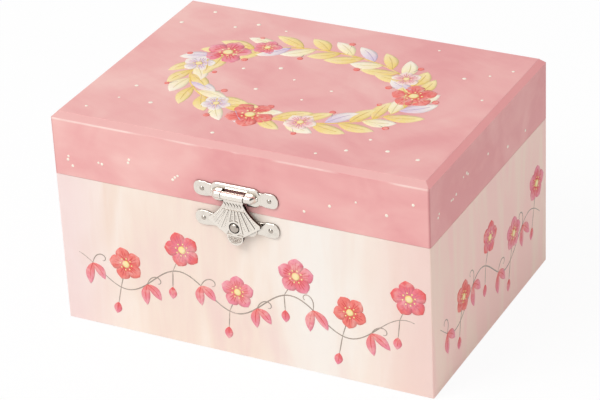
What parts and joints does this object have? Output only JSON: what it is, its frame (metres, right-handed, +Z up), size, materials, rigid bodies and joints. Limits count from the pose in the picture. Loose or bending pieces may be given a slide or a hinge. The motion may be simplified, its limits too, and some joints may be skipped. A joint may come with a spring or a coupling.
{
  "type": "musical jewellery box",
  "caption": "Paper covered jewellery box with a hinged lid, snap clasp, mirror, ring cushion and a wind-up movement that turns a dancer.",
  "frame": {"origin": "middle of the footprint at the height of the base's lower rim", "axes": "+X to the right along the front, +Y to the back, +Z up"},
  "size_m": [0.155, 0.1198, 0.089],
  "materials": {
    "lid_paper": "matt printed paper on fibreboard",
    "base_paper": "matt printed paper on fibreboard",
    "lining": "flocked fibreboard",
    "felt": "felt",
    "velvet": "velvet over foam",
    "board": "raw fibreboard",
    "glass": "silvered glass",
    "nickel": "nickel plate",
    "zinc": "zinc plate",
    "steel": "plain steel",
    "brass": "plain brass",
    "white_plastic": "moulded",
    "black_plastic": "moulded",
    "skin_plastic": "painted moulding",
    "tulle": "tulle"
  },
  "bodies": {
    "base": {"base_front": "base_paper", "base_back": "base_paper", "base_left": "base_paper", "base_right": "base_paper", "base_floor": "board", "deck": "lining", "deck_riser": "lining", "deck_cleats": "board", "compartment_divider": "lining", "compartment_felt": "felt", "ring_cushion": "velvet", "hinge_base_leaf_left": "nickel", "hinge_base_leaf_right": "nickel", "hinge_pins": "nickel", "hinge_base_nails": "nickel", "clasp_catch_plate": "nickel", "clasp_catch_nails": "nickel", "clasp_stud": "nickel", "movement_bedplate": "zinc", "spring_cup": "zinc", "mainspring": "steel", "comb": "steel", "comb_screws": "steel", "cylinder_brackets": "zinc", "governor_bracket": "zinc", "movement_screws": "steel", "spindle_bush": "brass"},
    "lid": {"lid_front": "lid_paper", "lid_back": "lid_paper", "lid_left": "lid_paper", "lid_right": "lid_paper", "lid_top": "lid_paper", "mirror_surround": "lining", "mirror": "glass", "hinge_lid_leaf_left": "nickel", "hinge_lid_leaf_right": "nickel", "hinge_lid_nails": "nickel", "clasp_hinge_plate": "nickel", "clasp_plate_nails": "nickel", "clasp_pin": "nickel"},
    "hasp": {"clasp_hasp": "nickel"},
    "dancer": {"dancer_spindle": "steel", "spindle_pinion": "white_plastic", "turntable": "white_plastic", "dancer_figure": "skin_plastic", "dancer_tutu": "tulle"},
    "winding": {"winding_arbor": "steel", "drive_wheel": "brass", "winding_key": "nickel"},
    "cylinder": {"pin_cylinder": "brass", "cylinder_arbor": "steel", "cylinder_pinion": "brass", "cylinder_gear": "brass"},
    "governor": {"governor_arbor": "steel", "governor_pinion": "brass", "worm_wheel": "brass"},
    "fly": {"governor_worm": "steel", "air_fly": "black_plastic"},
    "stop": {"stop_wire": "steel"}
  },
  "joints": [
    {"name": "lid_hinge", "type": "hinge", "parent": "base", "child": "lid", "pos_m": [0, 0.05677, 0.06324], "axis": [-1, 0, 0], "range_deg": [0, 100]},
    {"name": "hasp_flip", "type": "hinge", "parent": "lid", "child": "hasp", "pos_m": [0, -0.05843, 0.0698], "axis": [-1, 0, 0], "range_deg": [0, 144]},
    {"name": "dancer_spin", "type": "hinge", "parent": "base", "child": "dancer", "pos_m": [0, 0.02092, 0.042], "axis": [0, 0, 1], "continuous": true},
    {"name": "key_turn", "type": "hinge", "parent": "base", "child": "winding", "pos_m": [0.009, 0.03292, 0.02], "axis": [0, 0, 1], "continuous": true},
    {"name": "cylinder_turn", "type": "hinge", "parent": "base", "child": "cylinder", "pos_m": [-0.0157, 0.03292, 0.02472], "axis": [1, 0, 0], "continuous": true},
    {"name": "governor_turn", "type": "hinge", "parent": "base", "child": "governor", "pos_m": [-0.03183, 0.04167, 0.02472], "axis": [1, 0, 0], "continuous": true},
    {"name": "fly_spin", "type": "hinge", "parent": "base", "child": "fly", "pos_m": [-0.03183, 0.03597, 0.02472], "axis": [0, 0, 1], "continuous": true},
    {"name": "stop_slide", "type": "slide", "parent": "base", "child": "stop", "axis": [0, 0, 1], "range_m": [0, 0.0016]}
  ],
  "couplings": [
    {"joint": "key_turn", "follows": "dancer_spin", "ratio": -0.25},
    {"joint": "cylinder_turn", "follows": "dancer_spin", "ratio": -0.75},
    {"joint": "governor_turn", "follows": "dancer_spin", "ratio": 3},
    {"joint": "fly_spin", "follows": "dancer_spin", "ratio": 72},
    {"joint": "stop_slide", "follows": "lid_hinge", "m_per_rad": 0.00091582}
  ]
}
